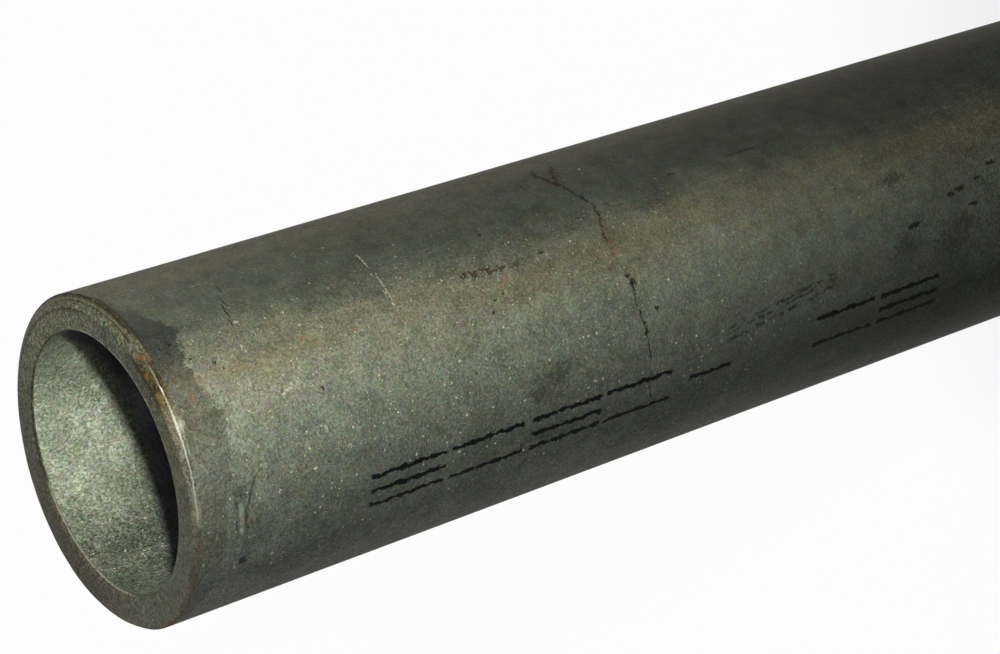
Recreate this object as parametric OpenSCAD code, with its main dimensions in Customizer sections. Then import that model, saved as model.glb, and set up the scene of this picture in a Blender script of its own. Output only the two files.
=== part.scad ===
// Short length of galvanized steel pipe, standing on one of its cut ends.
// One piece: a plain tube whose ends are bevelled outside and reamed inside.
// The axis is Z, and the pipe stands on the XY plane.
// The top end was dressed by hand, so its bevel and its ream are a little off centre.

/* [Tube] */
// Outside diameter, over the zinc
outside_d = 26.9; // [21.3:0.1:48.3]
// Wall thickness, with the zinc on both sides
wall = 2.8; // [2.0:0.1:4.0]
// Length from end face to end face
length = 150; // [60:5:600]

/* [End dressing] */
// Radial width of the bevel round each end's outside edge
bevel_width = 0.69; // [0.3:0.01:1.0]
// Angle between that bevel and the end face, in degrees
bevel_angle = 28; // [15:1:45]
// Radial width of the reamed ring round each end's inside edge
ream_width = 0.2; // [0.05:0.01:0.5]
// Angle between the reamed ring and the end face, in degrees
ream_angle = 45; // [30:1:60]

/* [Top end] */
// How far off the axis, towards -X, the top end's bevel is centred
bevel_shift = 0.45; // [0:0.05:0.6]
// How far off the axis, towards -X, the top end's reamed ring is centred
ream_shift = 0.17; // [0:0.01:0.3]

/* [Hidden] */
$fn = 96;
outside_r = outside_d / 2;
bore_r = outside_r - wall;
face_outer_r = outside_r - bevel_width;
face_inner_r = bore_r + ream_width;
// How far the cutters reach past the surfaces that they trim
clear = 1;
zinc_grey = [0.40, 0.43, 0.38];

// The plain tube, before its ends are dressed: its wall's section, turned about the axis.
module tube_blank() {
    rotate_extrude()
        translate([bore_r, 0]) square([wall, length]);
}

// A ring that trims the outside edge of an end face to a bevel. The face is the XY plane,
// the tube stands on it, and the bevel is centred shift away from the axis, towards -X.
module bevel_cutter(shift) {
    reach_r = outside_r + shift + clear;
    translate([-shift, 0, 0])
        rotate_extrude()
            polygon([
                [face_outer_r, -clear],
                [reach_r, -clear],
                [reach_r, (reach_r - face_outer_r) * tan(bevel_angle)],
                [face_outer_r, 0],
            ]);
}

// A plug that opens the inside edge of an end face to a reamed ring, placed in the same way.
module ream_cutter(shift) {
    tip_r = bore_r - shift - clear;
    translate([-shift, 0, 0])
        rotate_extrude()
            polygon([
                [0, -clear],
                [face_inner_r, -clear],
                [face_inner_r, 0],
                [tip_r, (face_inner_r - tip_r) * tan(ream_angle)],
                [0, (face_inner_r - tip_r) * tan(ream_angle)],
            ]);
}

// Both cutters of one end
module end_dressing(bevel_off = 0, ream_off = 0) {
    bevel_cutter(bevel_off);
    ream_cutter(ream_off);
}

module pipe() {
    color(zinc_grey)
        difference() {
            tube_blank();
            end_dressing();
            translate([0, 0, length]) mirror([0, 0, 1])
                end_dressing(bevel_off = bevel_shift, ream_off = ream_shift);
        }
}

pipe();
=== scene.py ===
"""A short galvanized steel pipe: its detailed tube, its zinc and its cut end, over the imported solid."""

import math

import bpy
from mathutils import Matrix, Vector, noise


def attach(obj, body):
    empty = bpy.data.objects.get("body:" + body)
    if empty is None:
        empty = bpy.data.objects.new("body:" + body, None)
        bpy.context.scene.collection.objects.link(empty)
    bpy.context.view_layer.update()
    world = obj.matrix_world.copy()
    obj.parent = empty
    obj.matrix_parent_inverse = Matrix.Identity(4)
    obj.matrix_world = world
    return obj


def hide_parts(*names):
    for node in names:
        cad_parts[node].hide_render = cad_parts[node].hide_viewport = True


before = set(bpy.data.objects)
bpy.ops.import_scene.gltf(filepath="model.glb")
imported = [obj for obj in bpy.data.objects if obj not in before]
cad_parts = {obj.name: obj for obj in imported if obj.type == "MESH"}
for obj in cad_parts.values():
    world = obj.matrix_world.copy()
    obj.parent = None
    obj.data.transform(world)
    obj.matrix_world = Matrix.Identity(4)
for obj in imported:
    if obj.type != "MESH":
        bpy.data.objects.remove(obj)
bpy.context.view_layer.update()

# Sizes of the tube in millimetres, as in the part's source
MM = 0.001
LENGTH = 150.0
OUTSIDE_R = 13.45
BORE_R = 10.65
FACE_OUTER_R = 12.76
FACE_INNER_R = 10.85
BEVEL_SLOPE = math.tan(math.radians(28.0))
REAM_SLOPE = math.tan(math.radians(45.0))
BEVEL_SHIFT = 0.45
REAM_SHIFT = 0.17

# The zinc's lumps rise and fall about this radius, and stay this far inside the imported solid
ZINC_R = 13.425
ZINC_MARGIN = 0.001
LUMP_HEIGHT = 0.018
# Azimuth of the side that faces the photograph's camera; angles round the pipe count from it
FRONT_AZIMUTH = math.radians(-59.48)
# Length of arc on the outside for one degree
ARC_PER_DEGREE = OUTSIDE_R * math.pi / 180.0

# Columns of the mesh round the pipe
COLUMNS = 360
# Within this distance of the top end the outside's rings start from the end's own last ring
JOIN_DEPTH = 5.0
# Where the denser rings of the outside end, which is past the edge of the photograph
DENSE_END = 108.0
# Length of the bore with dense rings, from the top end
DENSE_BORE = 34.0

# How far each corner of an end is rounded, from the bore out, and how much further where it is worn
TOP_ROUNDING = (0.07, 0.08, 0.07, 0.08)
WORN_ROUNDING = (0.16, 0.34, 0.0, 0.0)
BOTTOM_ROUNDING = (0.10, 0.10, 0.08, 0.08)
# Mean depth and height of the waves of the cut face
FACE_SINK = 0.015
FACE_WAVE = 0.028
# Lumps of the bore's wall, which lie outside its radius and so inside the solid
BORE_LUMP = 0.02


# Mesh

# Zone of the corner where the ream meets the bore's wall
BORE_ZONE = 3.0


def smooth_step(value, low, high):
    """Rises smoothly from 0 at low to 1 at high."""
    t = max(0.0, min(1.0, (value - low) / (high - low)))
    return t * t * (3.0 - 2.0 * t)


def hump(value, centre, width):
    """A bell of height 1."""
    return math.exp(-(((value - centre) / width) ** 2))


def lerp(a, b, t):
    """The number a share t of the way from a to b."""
    return a + (b - a) * t


def path_value(path, angle):
    """Reads a path given as pairs of angle and value, with straight lines between them."""
    if angle <= path[0][0]:
        return path[0][1]
    for (a0, v0), (a1, v1) in zip(path, path[1:]):
        if angle <= a1:
            return lerp(v0, v1, (angle - a0) / (a1 - a0))
    return path[-1][1]


# Hairline crack round the pipe: angle in degrees, then distance from the top end
CRACK_PATH = [
    (-62.0, 42.70), (-58.0, 42.20), (-50.0, 42.75), (-42.0, 43.35), (-34.0, 44.05), (-28.0, 43.75),
    (-22.0, 43.10), (-12.0, 43.05), (-2.0, 43.60), (6.0, 43.40), (18.0, 43.95), (32.0, 44.05),
    (44.0, 44.30), (52.0, 44.70),
]
CRACK_MIDDLE = 43.4
CRACK_DEPTH = 0.07
CRACK_HALF_WIDTH = 0.075
# How far from the crack the rings of the mesh bend to follow it, and its attribute beyond that
CRACK_REACH = 4.0
NO_CRACK = 9.0
# A run of zinc that set near the top end: distance from it, height, half width, and the dip beside it
RUN_DEPTH = 3.9
RUN_HEIGHT = 0.045
RUN_HALF_WIDTH = 0.16
RUN_DIP = 0.03
# How deep the top end's outside edge is worn flat, by angle
RIM_WEAR = [
    (-180.0, 0.12), (-168.0, 0.09), (-152.0, 0.0), (84.0, 0.0), (92.0, 0.06), (100.0, 0.18),
    (109.0, 0.32), (119.0, 0.42), (128.0, 0.36), (138.0, 0.17), (150.0, 0.09), (165.0, 0.05),
    (180.0, 0.12),
]
# Distance from the end at which that wear has faded out
WEAR_REACH = 2.5


def ring_radius(circle_r, shift, azimuth):
    """Distance from the pipe's axis to a circle whose centre is shifted towards -X."""
    return -shift * math.cos(azimuth) + math.sqrt(circle_r ** 2 - (shift * math.sin(azimuth)) ** 2)


def off_centre(radius, shift, azimuth):
    """Distance of a point of the tube from the axis of a dressing that is shifted towards -X."""
    return math.hypot(radius * math.cos(azimuth) + shift, radius * math.sin(azimuth))


def end_corners(azimuth, bevel_shift, ream_shift):
    """The four corners of an end's section as radius, depth below the end face and zone.

    Zone 0 is the outside edge, 1 the corner of bevel and face, 2 the inside edge and 3 the bore."""
    ream_depth = (FACE_INNER_R - off_centre(BORE_R, ream_shift, azimuth)) * REAM_SLOPE
    bevel_depth = (off_centre(ZINC_R, bevel_shift, azimuth) - FACE_OUTER_R) * BEVEL_SLOPE
    return [
        (BORE_R, ream_depth, BORE_ZONE),
        (ring_radius(FACE_INNER_R, ream_shift, azimuth), 0.0, 2.0),
        (ring_radius(FACE_OUTER_R, bevel_shift, azimuth), 0.0, 1.0),
        (ZINC_R, bevel_depth, 0.0),
    ]


def between(a, b, t):
    """The point a share t of the way from a to b."""
    return tuple(lerp(x, y, t) for x, y in zip(a, b))


def span(a, b):
    """Distance of two points of a section."""
    return math.hypot(b[0] - a[0], b[1] - a[1])


def rounded_corner(before, corner, after, reach, steps):
    """Points of a rounded corner that starts and ends up to reach away from it."""
    into = min(reach, 0.45 * span(before, corner)) / span(before, corner)
    out = min(reach, 0.45 * span(corner, after)) / span(corner, after)
    start = between(corner, before, into)
    end = between(corner, after, out)
    points = []
    for k in range(steps + 1):
        t = k / steps
        points.append(between(between(start, corner, t), between(corner, end, t), t))
    return points


def end_section(azimuth, bevel_shift, ream_shift, rounding, steps, face_steps, bevel_steps):
    """Section of an end from the bore to the outside, as radius, depth and zone."""
    corners = end_corners(azimuth, bevel_shift, ream_shift)
    first = (BORE_R, corners[0][1] + 1.0, BORE_ZONE + 1.0)
    last = (ZINC_R, corners[3][1] + 1.0, -1.0)
    line = [first] + corners + [last]
    points = []
    for k in range(1, 5):
        arc = rounded_corner(line[k - 1], line[k], line[k + 1], rounding[k - 1], steps)
        if k == 3:
            points += [between(points[-1], arc[0], i / face_steps) for i in range(1, face_steps)]
        if k == 4:
            points += [between(points[-1], arc[0], i / bevel_steps) for i in range(1, bevel_steps)]
        points += arc
    return points


def stations_between(first, end, step):
    """Places from first on, one step apart, that lie before end."""
    stations = []
    station = first
    while station < end:
        stations.append(station)
        station += step
    return stations


def outside_stations():
    """Distances from the top end at which the outside has a ring: closer at the run and the crack."""
    stations = [0.12, 0.3, 0.55, 0.85, 1.2, 1.6, 2.0, 2.4, 2.8, 3.2]
    stations += [3.45, 3.62, 3.76, 3.87, 3.98, 4.12, 4.3, 4.6]
    stations += stations_between(5.2, CRACK_MIDDLE - 1.0, 0.9)
    stations += [CRACK_MIDDLE + d for d in (-0.6, -0.3, -0.14, -0.06, 0.0, 0.06, 0.14, 0.3, 0.6)]
    stations += stations_between(CRACK_MIDDLE + 1.2, DENSE_END, 1.1)
    stations += stations_between(stations[-1] + 1.1, LENGTH - 1.0, 2.6)
    return stations


def bore_stations():
    """Distances from the bottom end, back up to the top end, at which the bore has a ring."""
    stations = stations_between(1.5, LENGTH - DENSE_BORE, 4.0)
    stations += stations_between(stations[-1] + 4.0, LENGTH - 1.2, 0.75)
    return stations


def zinc_lumps(x, y, z):
    """Slow swell and small lumps of the zinc, about -1 to 1."""
    slow = noise.noise(Vector((x * 0.11, y * 0.11, z * 0.05)))
    middle = noise.noise(Vector((x * 0.42, y * 0.42, z * 0.30)) + Vector((7, 3, 1)))
    small = noise.noise(Vector((x, y, z)) * 1.3 + Vector((2, 9, 4)))
    return slow * 0.55 + middle * 0.35 + small * 0.2


def plateau(value, low, low_end, high, high_end):
    """1 between low_end and high, falling smoothly to 0 at low and at high_end."""
    return smooth_step(value, low, low_end) * (1.0 - smooth_step(value, high, high_end))


def crack_strength(angle):
    """How deep the crack is at an angle: uneven, and fading out at both of its ends."""
    fade = plateau(angle, -63.0, -58.0, 46.0, 52.0)
    uneven = 0.65 + 0.7 * noise.noise(Vector((angle * 0.35, 4.0, 0.0)))
    return fade * max(0.15, min(1.0, uneven))


def run_relief(angle, depth):
    """The run of zinc stands up between two dips."""
    run = plateau(angle, 20.0, 23.0, 35.0, 39.0)
    dips = hump(abs(depth - RUN_DEPTH), 2.0 * RUN_HALF_WIDTH, 0.75 * RUN_HALF_WIDTH)
    return run * (RUN_HEIGHT * hump(depth, RUN_DEPTH, RUN_HALF_WIDTH) - RUN_DIP * dips)


def outside_point(angle, azimuth, station):
    """Radius, warped distance from the top end, and distance across the crack."""
    across = station - CRACK_MIDDLE
    near = 1.0 - smooth_step(abs(across), 0.6, CRACK_REACH)
    warped = station + (path_value(CRACK_PATH, angle) - CRACK_MIDDLE) * near
    lumps = zinc_lumps(math.cos(azimuth) * OUTSIDE_R, math.sin(azimuth) * OUTSIDE_R, -warped)
    radius = ZINC_R + LUMP_HEIGHT * lumps
    radius -= CRACK_DEPTH * hump(across, 0.0, CRACK_HALF_WIDTH) * crack_strength(angle)
    radius += run_relief(angle, warped)
    return min(radius, OUTSIDE_R - ZINC_MARGIN), warped, across


def face_depth(place, zone):
    """How far the waves sink a point of the top end, most on the flat face."""
    wave = noise.noise(place * 0.5) * 0.5
    wave += noise.noise(place * 1.7 + Vector((5, 5, 5))) * 0.35
    wave += noise.noise(place * 4.5) * 0.25
    level = smooth_step(2.6 - zone, 0.0, 0.6) * smooth_step(zone, 0.0, 0.25)
    return max(0.0, FACE_SINK + FACE_WAVE * wave * level)


def bore_lump(place):
    """Swell of the bore's wall, about -1 to 1."""
    return noise.noise(place * 0.25) * 0.5 + noise.noise(place * 0.9 + Vector((3, 1, 8))) * 0.5


def column_points(index):
    """All points of one column, going up the bore's wall last, as (x, y, z), zone, crack and part."""
    angle = -180.0 + 360.0 * index / COLUMNS
    azimuth = FRONT_AZIMUTH - math.radians(angle)
    cos_a = math.cos(azimuth)
    sin_a = math.sin(azimuth)
    points = []

    def put(radius, depth, zone, crack, part):
        points.append(((radius * cos_a, radius * sin_a, LENGTH - depth), zone, crack, part))

    # Top end, dressed by hand: its inside edge is rounded off most at the bottom right of the photograph
    worn = plateau(angle, 42.0, 66.0, 96.0, 120.0)
    rounding = [plain + extra * worn for plain, extra in zip(TOP_ROUNDING, WORN_ROUNDING)]
    top = end_section(azimuth, BEVEL_SHIFT, REAM_SHIFT, rounding, 4, 9, 5)
    wear = path_value(RIM_WEAR, angle)
    for radius, depth, zone in top:
        sink = face_depth(Vector((radius * cos_a, radius * sin_a, depth)), zone)
        outer = 1.0 - smooth_step(zone, 0.0, 1.6)
        put(radius - wear * outer, depth + sink, zone, NO_CRACK, "top")

    # Outside
    start_depth = top[-1][1]
    for station in outside_stations():
        eased = station
        if station < JOIN_DEPTH:
            eased = start_depth + station * (JOIN_DEPTH - start_depth) / JOIN_DEPTH
        radius, warped, across = outside_point(angle, azimuth, eased)
        if abs(across) > CRACK_REACH:
            across = NO_CRACK
        worn_off = wear * (1.0 - smooth_step(station, 0.0, WEAR_REACH))
        put(radius - worn_off, warped, -station, across, "outside")

    # Bottom end, finished plainly
    bottom = end_section(azimuth, 0.0, 0.0, BOTTOM_ROUNDING, 2, 3, 2)
    for radius, depth, zone in reversed(bottom):
        put(radius, LENGTH - depth, zone, NO_CRACK, "bottom")

    # Bore, from the bottom up
    for station in bore_stations():
        depth = LENGTH - station
        lump = bore_lump(Vector((BORE_R * cos_a, BORE_R * sin_a, depth)))
        put(BORE_R + BORE_LUMP + BORE_LUMP * lump, depth, BORE_ZONE + depth, NO_CRACK, "bore")
    return points


def tube_mesh():
    """The tube as a closed grid of columns and rings, with the zones and the crack as attributes."""
    columns = [column_points(j) for j in range(COLUMNS)]
    rings = len(columns[0])
    verts = [Vector(p[0]) * MM for column in columns for p in column]
    faces = []
    for j in range(COLUMNS):
        here = j * rings
        there = ((j + 1) % COLUMNS) * rings
        for k in range(rings):
            up = (k + 1) % rings
            faces.append((here + k, here + up, there + up, there + k))
    mesh = bpy.data.meshes.new("pipe_tube")
    mesh.from_pydata(verts, [], faces)
    mesh.update()
    zones = mesh.attributes.new("zone", "FLOAT", "POINT")
    zones.data.foreach_set("value", [p[1] for column in columns for p in column])
    cracks = mesh.attributes.new("crack", "FLOAT", "POINT")
    cracks.data.foreach_set("value", [p[2] for column in columns for p in column])
    parts = [p[3] for p in columns[0]]
    return mesh, parts, rings


def paint_faces(mesh, parts, rings):
    """Gives each face its material: 0 outside, 1 cut ends, 2 bore."""
    index_of = {"outside": 0, "top": 1, "bottom": 1, "bore": 2}
    indices = []
    for face in range(COLUMNS * rings):
        k = face % rings
        part = parts[k]
        following = parts[(k + 1) % rings]
        if part in ("top", "bottom") and following == "outside":
            part = "outside"
        if part == "bottom" and following == "bore":
            part = "bore"
        indices.append(index_of[part])
    mesh.polygons.foreach_set("material_index", indices)


def bake_map(mesh, parts, rings):
    """Lays the outside, the bore and the two ends out as strips in a map of their own."""
    layer = mesh.uv_layers.new(name="OFBake")
    # Each strip as u from, u to, v from and v to
    strip_of = {
        "outside": (0.004, 0.944, 0.004, 0.530),
        "bore": (0.004, 0.944, 0.538, 0.954),
        "top": (0.950, 0.996, 0.004, 0.954),
        "bottom": (0.004, 0.944, 0.962, 0.992),
    }
    along = []
    for name in ("top", "outside", "bottom", "bore"):
        members = [k for k in range(rings) if parts[k] == name]
        first = members[0]
        last = members[-1] + 1
        lengths = [0.0]
        for k in range(first, last):
            a = mesh.vertices[k % rings].co
            b = mesh.vertices[(k + 1) % rings].co
            lengths.append(lengths[-1] + (b - a).length)
        along.append((name, first, lengths))
    place = {}
    for name, first, lengths in along:
        for i in range(len(lengths) - 1):
            place[first + i] = (name, lengths[i] / lengths[-1], lengths[i + 1] / lengths[-1])
    values = []
    for j in range(COLUMNS):
        v0 = j / COLUMNS
        v1 = (j + 1) / COLUMNS
        for k in range(rings):
            name, a, b = place[k]
            u_low, u_high, v_low, v_high = strip_of[name]
            corners = [(a, v0), (b, v0), (b, v1), (a, v1)]
            if name == "bottom":
                corners = [(v, u) for u, v in corners]
            for u, v in corners:
                values += [lerp(u_low, u_high, u), lerp(v_low, v_high, v)]
    layer.data.foreach_set("uv", values)


def pipe_piece(materials):
    """The pipe's one piece, with its materials for the outside, the cut ends and the bore."""
    mesh, parts, rings = tube_mesh()
    for material in materials:
        mesh.materials.append(material)
    paint_faces(mesh, parts, rings)
    bake_map(mesh, parts, rings)
    mesh.polygons.foreach_set("use_smooth", [True] * len(mesh.polygons))
    mesh.update()
    piece = bpy.data.objects.new("pipe_zinc_tube", mesh)
    bpy.context.scene.collection.objects.link(piece)
    return piece


# Shader helpers

# Share of a ripple that each channel takes, so that light and dark grains keep one tint
RIPPLE_SHARES = (1.05, 1.0, 1.16)
# How shiny the dull zinc is
SPECULAR = 0.02


def srgb(red, green, blue):
    """A colour given as it looks on screen, 0 to 255, in the shader's own scale."""
    def one(value):
        value /= 255.0
        return value / 12.92 if value <= 0.04045 else ((value + 0.055) / 1.055) ** 2.4
    return (one(red), one(green), one(blue), 1.0)


class Nodes:
    """Short calls for the shader nodes that the materials are made of."""

    def __init__(self, name):
        self.material = bpy.data.materials.new(name)
        self.material.use_nodes = True
        self.tree = self.material.node_tree
        self.tree.nodes.clear()
        self.output = self.node("ShaderNodeOutputMaterial")

    def node(self, kind, **settings):
        made = self.tree.nodes.new(kind)
        for key, value in settings.items():
            setattr(made, key, value)
        return made

    def feed(self, socket, value):
        """Links a socket to an input, or sets the input to a plain value."""
        if isinstance(value, bpy.types.NodeSocket):
            self.tree.links.new(value, socket)
        else:
            socket.default_value = value

    def math(self, operation, first, second=0.0, third=0.0, clamp=False):
        made = self.node("ShaderNodeMath", operation=operation, use_clamp=clamp)
        for socket, value in zip(made.inputs, (first, second, third)):
            self.feed(socket, value)
        return made.outputs[0]

    def chain(self, operation, values):
        result = values[0]
        for value in values[1:]:
            result = self.math(operation, result, value)
        return result

    def add(self, *values):
        return self.chain("ADD", values)

    def sub(self, a, b):
        return self.math("SUBTRACT", a, b)

    def mul(self, *values):
        return self.chain("MULTIPLY", values)

    def most(self, *values):
        return self.chain("MAXIMUM", values)

    def line(self, value, slope, start, clamp=False):
        """A straight line: start, and slope more for each 1 of the value."""
        return self.math("MULTIPLY_ADD", value, slope, start, clamp)

    def jog(self, noise_value, width):
        """Turns a noise about 0.5 into an offset about 0, width from end to end."""
        return self.line(noise_value, width, -0.5 * width)

    def swing(self, noise_value, amount):
        """Turns a noise about 0.5 into a factor about 1."""
        return self.line(noise_value, amount, 1.0 - amount * 0.5)

    def share(self, value, low, high):
        """How far a value is on its way from low to high, 0 to 1."""
        return self.line(value, 1.0 / (high - low), -low / (high - low), clamp=True)

    def rise(self, value, low, high):
        """0 below low, 1 above high, smooth between; low may be above high."""
        made = self.node("ShaderNodeMapRange", interpolation_type="SMOOTHSTEP")
        flip = low > high
        self.feed(made.inputs["Value"], value)
        made.inputs["From Min"].default_value = min(low, high)
        made.inputs["From Max"].default_value = max(low, high)
        made.inputs["To Min"].default_value = 1.0 if flip else 0.0
        made.inputs["To Max"].default_value = 0.0 if flip else 1.0
        return made.outputs["Result"]

    def window(self, value, low, high, soft):
        """1 between low and high, with borders that are soft to both sides."""
        opened = self.rise(value, low - soft, low + soft)
        return self.mul(opened, self.rise(value, high + soft, high - soft))

    def bell(self, value, centre, width):
        """A bell of height 1 about a centre."""
        scaled = self.line(value, 1.0 / width, -centre / width)
        return self.math("EXPONENT", self.mul(scaled, scaled, -1.0))

    def blob(self, x, y, centre, widths):
        """A bell of height 1 in two directions."""
        a = self.line(x, 1.0 / widths[0], -centre[0] / widths[0])
        b = self.line(y, 1.0 / widths[1], -centre[1] / widths[1])
        return self.math("EXPONENT", self.mul(self.add(self.mul(a, a), self.mul(b, b)), -1.0))

    def vector(self, operation, first, second=(0.0, 0.0, 0.0)):
        made = self.node("ShaderNodeVectorMath", operation=operation)
        self.feed(made.inputs[0], first)
        self.feed(made.inputs[1], second)
        return made.outputs["Value"] if operation == "DOT_PRODUCT" else made.outputs["Vector"]

    def noise_node(self, place, scale, detail, rough, shift):
        made = self.node("ShaderNodeTexNoise")
        self.feed(made.inputs["Vector"], self.vector("ADD", place, shift))
        made.inputs["Scale"].default_value = scale
        made.inputs["Detail"].default_value = detail
        made.inputs["Roughness"].default_value = rough
        return made

    def noise(self, place, scale, detail=2.0, rough=0.5, shift=(0.0, 0.0, 0.0)):
        return self.noise_node(place, scale, detail, rough, shift).outputs["Fac"]

    def cells(self, place, scale, shift=(0.0, 0.0, 0.0)):
        """Distance to the middle of a random cell, and two random numbers of that cell's own."""
        made = self.node("ShaderNodeTexVoronoi")
        self.feed(made.inputs["Vector"], self.vector("ADD", place, shift))
        made.inputs["Scale"].default_value = scale
        own = self.node("ShaderNodeSeparateColor")
        self.feed(own.inputs[0], made.outputs["Color"])
        return made.outputs["Distance"], own.outputs[0], own.outputs[1]

    def mix(self, factor, a, b, blend="MIX"):
        made = self.node("ShaderNodeMix", data_type="RGBA", blend_type=blend)
        self.feed(made.inputs[0], factor)
        self.feed(made.inputs[6], a)
        self.feed(made.inputs[7], b)
        return made.outputs[2]

    def paint(self, mask, colour, tone, blend="MIX"):
        """Lays a screen colour over a colour where a mask is above 0."""
        return self.mix(mask, colour, srgb(*tone), blend)

    def tint(self, colour, place, scale, amounts, shift=(0.0, 0.0, 0.0)):
        """Lets each channel of a colour drift on its own, by its own amount."""
        drift = self.noise_node(place, scale, 2.0, 0.6, shift).outputs["Color"]
        return self.vector("MULTIPLY", colour, self.about_one(drift, amounts))

    def facets(self, colour, place, scale, amount, shift=(0.0, 0.0, 0.0)):
        """Gives each small crystal a tone of its own."""
        own = self.cells(place, scale, shift)[1]
        return self.ripple(colour, own, amount)

    def ripple(self, colour, value, amount):
        """Makes a colour lighter and darker with a random value about 0.5, and keeps its tint even."""
        amounts = tuple(amount * share for share in RIPPLE_SHARES)
        return self.vector("MULTIPLY", colour, self.about_one(value, amounts))

    def vector_line(self, value, slopes, starts):
        """A straight line for each of three channels."""
        made = self.node("ShaderNodeVectorMath", operation="MULTIPLY_ADD")
        self.feed(made.inputs[0], value)
        made.inputs[1].default_value = slopes
        made.inputs[2].default_value = starts
        return made.outputs["Vector"]

    def about_one(self, colour, amounts):
        """Turns three random channels, each about 0.5, into factors about 1."""
        return self.vector_line(colour, amounts, tuple(1.0 - amount * 0.5 for amount in amounts))

    def warp(self, place, scale, amount):
        """Shakes a place about, so that round patterns come out ragged."""
        drift = self.noise_node(place, scale, 1.0, 0.5, (0.0, 0.0, 0.0)).outputs["Color"]
        return self.vector("ADD", place, self.vector_line(drift, (2.0 * amount,) * 3, (-amount,) * 3))

    def curve(self, value, points):
        """Reads a height off straight lines between points, given as place and height."""
        low = points[0][0]
        high = points[-1][0]
        top = max(height for _, height in points)
        made = self.node("ShaderNodeFloatCurve")
        line = made.mapping.curves[0]
        for k, (place, height) in enumerate(points):
            spot = ((place - low) / (high - low), height / top)
            if k < 2:
                line.points[k].location = spot
            else:
                line.points.new(*spot)
        for point in line.points:
            point.handle_type = "VECTOR"
        made.mapping.update()
        self.feed(made.inputs["Value"], self.share(value, low, high))
        return self.mul(made.outputs["Value"], top)

    def ramp(self, value, stops):
        """A colour read off stops given as place and screen colour."""
        low = stops[0][0]
        high = stops[-1][0]
        made = self.node("ShaderNodeValToRGB")
        ramp = made.color_ramp
        while len(ramp.elements) > 1:
            ramp.elements.remove(ramp.elements[-1])
        for k, (place, tone) in enumerate(stops):
            spot = (place - low) / (high - low)
            stop = ramp.elements[0] if k == 0 else ramp.elements.new(spot)
            stop.position = spot
            stop.color = srgb(*tone)
        self.feed(made.inputs["Fac"], self.share(value, low, high))
        return made.outputs["Color"]

    def shade(self, colour, factor):
        """Makes a colour lighter or darker by a factor."""
        made = self.node("ShaderNodeVectorMath", operation="SCALE")
        self.feed(made.inputs[0], colour)
        self.feed(made.inputs["Scale"], factor)
        return made.outputs["Vector"]

    def attribute(self, name):
        return self.node("ShaderNodeAttribute", attribute_name=name).outputs["Fac"]

    def bump(self, height, strength, distance):
        """Relief from a height of 0 to 1, which stands for a distance in millimetres."""
        made = self.node("ShaderNodeBump")
        made.inputs["Strength"].default_value = strength
        made.inputs["Distance"].default_value = distance * MM
        self.feed(made.inputs["Height"], height)
        return made.outputs["Normal"]

    def surface(self, colour, roughness, normal):
        """The finished material: dull zinc with this colour, roughness and relief."""
        shader = self.node("ShaderNodeBsdfPrincipled")
        self.feed(shader.inputs["Base Color"], colour)
        self.feed(shader.inputs["Normal"], normal)
        shader.inputs["Roughness"].default_value = roughness
        shader.inputs["Metallic"].default_value = 0.0
        shader.inputs["Specular IOR Level"].default_value = SPECULAR
        self.tree.links.new(shader.outputs[0], self.output.inputs["Surface"])
        return self.material


def pipe_places(n):
    """The places that the materials draw by: a point in millimetres, and where it lies on the pipe."""
    place = n.vector("MULTIPLY", n.node("ShaderNodeTexCoord").outputs["Object"], (1.0 / MM,) * 3)
    parts = n.node("ShaderNodeSeparateXYZ")
    n.feed(parts.inputs[0], place)
    front = (math.cos(FRONT_AZIMUTH), math.sin(FRONT_AZIMUTH), 0.0)
    side = (math.sin(FRONT_AZIMUTH), -math.cos(FRONT_AZIMUTH), 0.0)
    turn = n.math("ARCTAN2", n.vector("DOT_PRODUCT", place, side), n.vector("DOT_PRODUCT", place, front))
    return {
        "place": place,
        "depth": n.sub(LENGTH, parts.outputs[2]),
        "angle": n.mul(turn, 180.0 / math.pi),
        "arc": n.mul(turn, OUTSIDE_R),
    }


# Materials

# Broad tones round the outside, with a painted highlight band lightest near the side that faces the camera:
# angle from the side that faces the camera, then screen colour
OUTSIDE_TONES_AND_HIGHLIGHT = [
    (-180.0, (104, 107, 94)), (-100.0, (118, 117, 99)), (-66.0, (117, 116, 97)), (-54.0, (99, 102, 87)),
    (-42.0, (95, 99, 85)), (-30.0, (108, 112, 95)), (-18.0, (138, 138, 115)), (-6.0, (141, 144, 122)),
    (6.0, (128, 135, 117)), (18.0, (115, 120, 103)), (30.0, (100, 105, 92)), (42.0, (87, 92, 80)),
    (54.0, (90, 94, 84)), (66.0, (108, 110, 101)), (90.0, (110, 111, 100)), (180.0, (104, 107, 94)),
]
# Painted falloff of light along the outside: distance from the top end, then how light the zinc is
OUTSIDE_LIGHT_FALLOFF = [
    (0.0, 1.10), (6.0, 1.12), (15.0, 1.0), (32.0, 0.96), (54.0, 0.86), (79.0, 0.59), (105.0, 0.54),
    (150.0, 0.68),
]
# How far the dark stain reaches from the top end, by angle
RIM_STAIN = [
    (-90.0, 0.0), (-72.0, 0.3), (-60.0, 1.2), (-46.0, 2.2), (-41.0, 3.2), (-36.0, 3.9), (-30.0, 3.6),
    (-22.0, 3.0), (-14.0, 3.3), (-4.0, 3.9), (8.0, 3.9), (26.0, 2.6), (50.0, 2.4), (66.0, 1.6),
    (90.0, 0.0),
]
# How dark that stain is, by angle
STAIN_DEPTH = [
    (-90.0, 0.16), (-52.0, 0.20), (-45.0, 0.40), (-40.0, 0.74), (-34.0, 0.78), (-24.0, 0.68),
    (-14.0, 0.54), (0.0, 0.46), (12.0, 0.32), (90.0, 0.30),
]
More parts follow.
